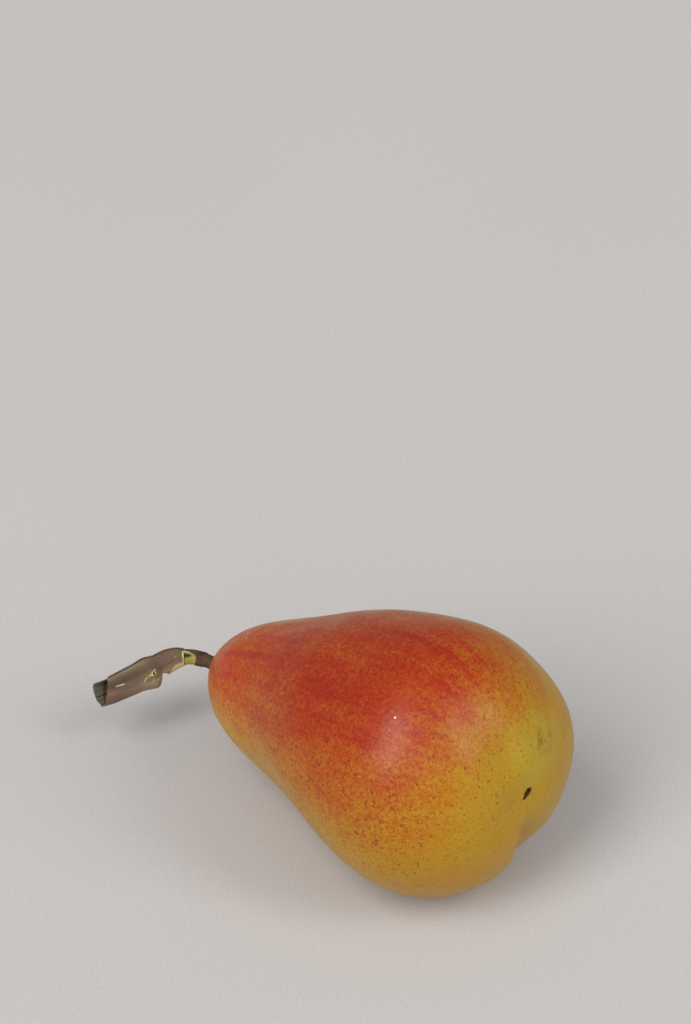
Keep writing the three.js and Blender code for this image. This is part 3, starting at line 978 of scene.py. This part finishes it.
def sheath_marks(distance, place):
    """Where the sheath has its pale torn edges and tears, its peeled patch, its olive band of painted shade
    along the dent, its painted highlight above with paler lower parts, and the painted shade deep inside.
    """
    near_start = 1 - smoothstep(distance, SHEATH_SPAN[0] + 0.45 * MM, SHEATH_SPAN[0] + 0.8 * MM)
    from_front = stepped(TORN_LOW, distance)
    torn_low = smoothstep(-place, from_front, from_front + 26) * (distance < WEDGE["near"] + 0.5 * MM)
    tears = sum(line_mark(distance, place, tear[:2], tear[2:4], tear[4]) for tear in TEARS)
    patch = np.exp(-(((distance - 26.2 * MM) / (1.9 * MM)) ** 4) - ((place + 19) / 17) ** 4)
    # Painted shade: the olive band follows the dent and stands in for its shade.
    olive = mound((place - 14) / 24) * smoothstep(distance, 19 * MM, 26 * MM)
    # A painted highlight along the upper side, and paler parts on the lower side towards the fruit.
    top = smoothstep(place, 38, 60) * smoothstep(distance, 22 * MM, 30 * MM)
    low = smoothstep(-place, 12, 42) * smoothstep(distance, 38 * MM, 26 * MM)
    return {
        "pale": np.clip(near_start + torn_low + 0.85 * tears, 0, 1),
        "peeled": patch,
        "olive": olive,
        "highlight_and_pale": np.clip(0.85 * top + low, 0, 1),
        # Painted shade deep inside the roll.
        "deep": 1 - smoothstep(distance - stepped(INNER_SHADE_REACH, place % 360), -0.3 * MM, 0.3 * MM),
        "worn": np.clip(smoothstep(distance, WEDGE["near"], WEDGE["along"]) + (place > 60), 0, 1),
    }


def sheath_outside_material(look):
    """Dry grey-brown skin with an olive band of painted shade along the dent, a painted highlight above, a
    peeled patch and pale tears.
    """
    paint = Paint("sheath_outside")
    straight = paint.vector("straight")
    fibres = paint.fibres(straight, 160, 1300, 4.0, 0.62)
    blotches = paint.fibres(straight, 130, 330, 3.0, 0.6)
    colour = paint.mix(paint.between(blotches, 0.4, 0.62), look.skin, look.skin_warm)
    # Painted highlight above, and paler parts low down.
    highlight_and_pale = paint.product(paint.number("highlight_and_pale"), paint.between(fibres, 0.3, 0.6, 0.5, 1.0))
    colour = paint.mix(highlight_and_pale, colour, look.skin_pale_highlight)
    # The olive band, painted darker as the dent's shade.
    olive = paint.product(paint.number("olive"), paint.between(blotches, 0.3, 0.6, 0.95, 0.6))
    colour = paint.mix(olive, colour, look.skin_olive_shade)
    shade = paint.between(fibres, 0.3, 0.7, 0.0, 0.3)
    colour = paint.mix(shade, colour, look.skin_olive_shade)
    crumbs = paint.clouds(straight, 900, 3.0, 0.6)
    peeled = paint.sum(paint.number("peeled"), paint.less(crumbs, 0.5))
    colour = paint.mix(paint.between(peeled, 0.3, 0.6, 0.0, 0.8), colour, look.patch)
    torn = paint.sum(paint.number("pale"), paint.product(crumbs, 1.3))
    colour = paint.mix(paint.between(torn, 1.05, 1.6), colour, look.pale)
    normal = paint.bump(fibres, look.wrinkles)
    gloss = paint.between(blotches, 0.3, 0.7, look.roughness - 0.1, look.roughness + 0.1)
    paint.set(Base_Color=colour, Roughness=gloss, Normal=normal, Specular_IOR_Level=0.35)
    return paint.material


def sheath_inside_material(look):
    """The dark inner face, with painted shade deeper inside the roll."""
    paint = Paint("sheath_inside")
    fibres = paint.fibres(paint.vector("straight"), 200, 1100, 4.0, 0.6)
    streaked = paint.between(fibres, 0.4, 0.7, 0.0, 0.6)
    colour = paint.mix(paint.math("MAXIMUM", streaked, paint.number("deep")), look.inside, look.inside_dark_and_shade)
    normal = paint.bump(fibres, look.wrinkles)
    paint.set(Base_Color=colour, Normal=normal, Roughness=look.roughness + 0.2, Specular_IOR_Level=0.25)
    return paint.material


def sheath_edge_material(look):
    """Pale fibres where the skin is torn, browner at the outer end."""
    paint = Paint("sheath_edge")
    fibres = paint.clouds(paint.vector("straight"), 1800, 3.0, 0.6)
    aged = paint.product(paint.between(fibres, 0.35, 0.65), 0.5)
    colour = paint.mix(aged, look.pale, look.skin)
    colour = paint.mix(paint.product(paint.number("worn"), 0.9), colour, look.skin)
    paint.set(Base_Color=colour, Normal=paint.bump(fibres, look.wrinkles), Roughness=0.8)
    return paint.material


class RIPE_PEAR_OT_sheath(bpy.types.Operator):
    """Makes the loose rolled sheath of dried skin, with its torn and cut edges"""

    bl_idname = "ripe_pear.sheath"
    bl_label = "Sheath"

    def execute(self, context):
        settings = context.scene.ripe_pear
        look = settings.sheath
        line = stem_line(settings.fruit)
        sweep = 360 + ROLL["overlap"]
        distance, turn = np.meshgrid(
            np.linspace(*SHEATH_SPAN, SHEATH_ROWS + 1), np.linspace(0, 1, SHEATH_COLUMNS + 1), indexing="ij"
        )
        middle_distance = (distance[1:, 1:] + distance[:-1, :-1]) / 2
        middle_turn = (turn[1:, 1:] + turn[:-1, :-1]) / 2
        kept = sheath_kept(middle_distance, ROLL["at"] + sweep * middle_turn)
        cells, rim = cut_sheet(kept)
        flat = smooth_rim(np.stack([distance.ravel(), turn.ravel() * SHEATH_WIDTH], -1), rim)
        distance = flat[:, 0]
        turn = flat[:, 1] / SHEATH_WIDTH
        degrees = ROLL["at"] + sweep * turn
        angle = np.radians(degrees)
        spots = straightened(distance, angle, SHEATH_RADIUS)
        wrinkles = uneven(spots * np.array((0.2, 1, 1)), 1.1 * MM, 8.2)
        dents = uneven(spots, 4.5 * MM, 9.4)
        radius = sheath_radius(distance, degrees) - look.overlap_gap * turn * sweep / 360
        radius += look.wrinkles * wrinkles + 0.12 * MM * dents
        outside = round_stem(line, distance, angle, radius)
        inside = round_stem(line, distance, angle, radius - look.thickness)
        used = np.unique(cells)
        number = np.full(len(distance), -1)
        number[used] = np.arange(len(used))
        cells = number[cells]
        rim = number[rim]
        shift = len(used)
        rim_faces = np.stack([rim[:, 0], rim[:, 0] + shift, rim[:, 1] + shift, rim[:, 1]], -1)
        faces = np.concatenate([cells, cells[:, ::-1] + shift, rim_faces])
        points = np.concatenate([outside[used], inside[used]])
        makers = (sheath_outside_material, sheath_inside_material, sheath_edge_material)
        piece = new_piece("pear_sheath", points, faces.tolist(), [maker(look) for maker in makers])
        kinds = np.repeat((0, 1, 2), (len(cells), len(cells), len(rim_faces)))
        piece.data.polygons.foreach_set("material_index", kinds)
        piece.data.set_sharp_from_angle(angle=math.radians(50))
        layers = {**sheath_marks(distance, short_way(degrees)), "straight": spots}
        keep_values(piece, {name: values[np.tile(used, 2)] for name, values in layers.items()})
        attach(piece, "root")
        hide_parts("stem_sheath")
        return {"FINISHED"}


# The dried sepals


def blade(look, bend):
    """Points of one thin sepal that stands up along +Z and curls towards +X, outer face first."""
    rise, across = np.meshgrid(
        np.linspace(0, 1, SEPAL_ROWS), np.linspace(-1, 1, SEPAL_COLUMNS), indexing="ij"
    )
    half = 0.5 * look.width * (1 - rise**1.7) ** 0.8 * (0.75 + 0.5 * rise * (1 - rise)) + 0.02 * MM
    y = across * half
    x = bend * look.length * rise**2 + 0.3 * look.width * across**2 * (1 - 0.6 * rise)
    z = look.length * (rise - 0.22 * abs(bend) * rise**2)
    middle = np.stack([x, y, z], -1)
    thick = look.thickness * (1 - 0.6 * rise)[..., None] * np.array((0.5, 0, 0))
    return np.stack([middle - thick, middle + thick]), rise


def blade_faces(start):
    """Faces of one sepal: both sides and the edge between."""
    rows, columns = SEPAL_ROWS, SEPAL_COLUMNS
    at = start + np.arange(rows * columns).reshape(rows, columns)
    side = np.stack([at[:-1, :-1], at[1:, :-1], at[1:, 1:], at[:-1, 1:]], -1).reshape(-1, 4)
    back = side[:, ::-1] + rows * columns
    loop = np.concatenate([at[0, :-1], at[:-1, -1], at[-1, :0:-1], at[:0:-1, 0]])
    ahead = np.roll(loop, -1)
    edge = np.stack([loop, ahead, ahead + rows * columns, loop + rows * columns], -1)
    return np.concatenate([side, back, edge]).tolist()


def sepal_material(look):
    """Dry dark brown, paler at the tips."""
    paint = Paint("dried_sepals")
    grown = paint.vector("grown")
    clouds = paint.clouds(grown, 2200, 3.0, 0.6)
    share = paint.product(paint.number("tip"), paint.between(clouds, 0.35, 0.6), limit=True)
    colour = paint.mix(share, look.dry, look.tip)
    paint.set(Base_Color=colour, Roughness=look.roughness, Normal=paint.bump(clouds, 0.00006))
    return paint.material


class RIPE_PEAR_OT_sepals(bpy.types.Operator):
    """Makes the dried sepals in the pit at the flower end"""

    bl_idname = "ripe_pear.sepals"
    bl_label = "Sepals"

    def execute(self, context):
        settings = context.scene.ripe_pear
        shape = settings.fruit
        look = settings.sepals
        pole, _, _ = skin_points(shape, np.array([1.0]), np.array([0.0]), True)
        floor = pole[0, 0, 0]
        points, faces, tips = [], [], []
        for number, bend in enumerate(SEPAL_BENDS):
            turn = 2 * math.pi * number / len(SEPAL_BENDS) + 0.5
            sides, rise = blade(look, bend)
            sides = sides + np.array((look.ring, 0, 0))
            points.append(sides.reshape(-1, 3) @ np.array(Matrix.Rotation(turn, 3, "Z").transposed()))
            faces += blade_faces(number * 2 * SEPAL_ROWS * SEPAL_COLUMNS)
            tips.append(np.tile(rise.ravel(), 2))
        upright = np.concatenate(points)
        turned = np.array(Matrix.Rotation(math.radians(PIT_AT), 2))
        upright[:, :2] = upright[:, :2] @ turned * (1.15, PIT_NARROW) @ turned.T
        along_core = np.stack([upright[:, 2] + floor - 0.1 * MM, upright[:, 0], upright[:, 1]], -1)
        laid = core_to_row(shape, along_core) + set_down(shape)
        piece = new_piece("pear_sepals", laid, faces, [sepal_material(look)])
        keep_values(piece, {"grown": along_core, "tip": np.concatenate(tips)})
        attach(piece, "root")
        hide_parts("calyx")
        return {"FINISHED"}


# The stage


def floor_material(look):
    """Plain pale floor with a very faint unevenness."""
    paint = Paint("plain_floor")
    place = paint.node("ShaderNodeTexCoord", {}, {}).outputs["Object"]
    mottle = paint.between(paint.clouds(place, 9.0, 3.0), 0.3, 0.7, 0.0, 0.05)
    grain = paint.between(paint.clouds(place, 1300.0, 2.0), 0.25, 0.75, 0.0, 0.4)
    colour = paint.mix(paint.sum(mottle, grain), look.floor, (0.5, 0.48, 0.47))
    paint.set(Base_Color=colour, Roughness=0.9, Specular_IOR_Level=0.2)
    return paint.material


def way_out(azimuth, elevation):
    """The way out from the pear, so far round from the front and so far up."""
    level = math.cos(elevation)
    return Vector((math.sin(azimuth) * level, -math.cos(azimuth) * level, math.sin(elevation)))


def add_light(name, turn, height, size, power):
    """A soft light that faces the pear, from a direction and a height in degrees."""
    data = bpy.data.lights.new(name, "AREA")
    data.shape = "RECTANGLE"
    data.size, data.size_y = size
    data.energy = power
    lamp = new_object(name, data)
    way = way_out(math.radians(turn), math.radians(height))
    lamp.location = way * LIGHT_DISTANCE
    lamp.rotation_euler = way.to_track_quat("Z", "Y").to_euler()


class RIPE_PEAR_OT_stage(bpy.types.Operator):
    """Makes the plain floor, the soft lights and the camera"""

    bl_idname = "ripe_pear.stage"
    bl_label = "Stage"

    def execute(self, context):
        scene = context.scene
        look = scene.ripe_pear.stage
        corners = [(x * FLOOR_HALF, y * FLOOR_HALF, 0) for x, y in ((-1, -1), (1, -1), (1, 1), (-1, 1))]
        floor = new_piece("floor", corners, [(0, 1, 2, 3)], [floor_material(look)])
        turn = math.degrees(look.azimuth)
        add_light("left_light", turn - 43, 45, (3.7, 7.0), look.left)
        add_light("right_light", turn + 64, 40, (2.4, 6.0), look.right)
        add_light("front_light", turn, 42, (9.0, 9.0), look.front)
        world = bpy.data.worlds.new("even_light")
        world.use_nodes = True
        even = world.node_tree.nodes["Background"].inputs
        even["Color"].default_value = (1.0, 1.0, 1.0, 1.0)
        even["Strength"].default_value = look.sky
        scene.world = world
        scene.view_settings.view_transform = "Standard"
        data = bpy.data.cameras.new("camera")
        data.lens = look.focal
        data.clip_start = 0.01
        camera = new_object("camera", data)
        back = way_out(look.azimuth, look.elevation)
        right = Vector((math.cos(look.azimuth), math.sin(look.azimuth), 0))
        belly = Vector(set_down(scene.ripe_pear.fruit))
        belly.z = 0
        camera.matrix_world = Matrix((right, back.cross(right), back)).transposed().to_4x4()
        camera.location = belly + CAMERA_FROM_BELLY
        scene.camera = camera
        return {"FINISHED"}


class RIPE_PEAR_PT_builder(bpy.types.Panel):
    """Lists the pear's pieces and the stage in the sidebar"""

    bl_idname = "RIPE_PEAR_PT_builder"
    bl_label = "Ripe pear"
    bl_space_type = "VIEW_3D"
    bl_region_type = "UI"
    bl_category = "Pear"

    def draw(self, context):
        settings = context.scene.ripe_pear
        for operator, groups in PIECES:
            box = self.layout.box()
            box.operator(operator.bl_idname)
            for group in groups:
                values = getattr(settings, group)
                for name in values.__annotations__:
                    box.prop(values, name)


PIECES = (
    (RIPE_PEAR_OT_fruit, ("fruit", "skin")),
    (RIPE_PEAR_OT_stem, ("stem",)),
    (RIPE_PEAR_OT_sheath, ("sheath",)),
    (RIPE_PEAR_OT_sepals, ("sepals",)),
    (RIPE_PEAR_OT_stage, ("stage",)),
)
GROUPS = (FruitShape, SkinLook, StemLook, SheathLook, SepalLook, StageLook, RipePearSettings)
CLASSES = (*GROUPS, *(operator for operator, _ in PIECES), RIPE_PEAR_PT_builder)


def register():
    for cls in CLASSES:
        bpy.utils.register_class(cls)
    bpy.types.Scene.ripe_pear = PointerProperty(type=RipePearSettings)


def unregister():
    del bpy.types.Scene.ripe_pear
    for cls in reversed(CLASSES):
        bpy.utils.unregister_class(cls)


def main():
    """Builds the pear and its stage."""
    register()
    bpy.ops.ripe_pear.fruit()
    bpy.ops.ripe_pear.stem()
    bpy.ops.ripe_pear.sheath()
    bpy.ops.ripe_pear.sepals()
    bpy.ops.ripe_pear.stage()


if __name__ == "__main__":
    main()
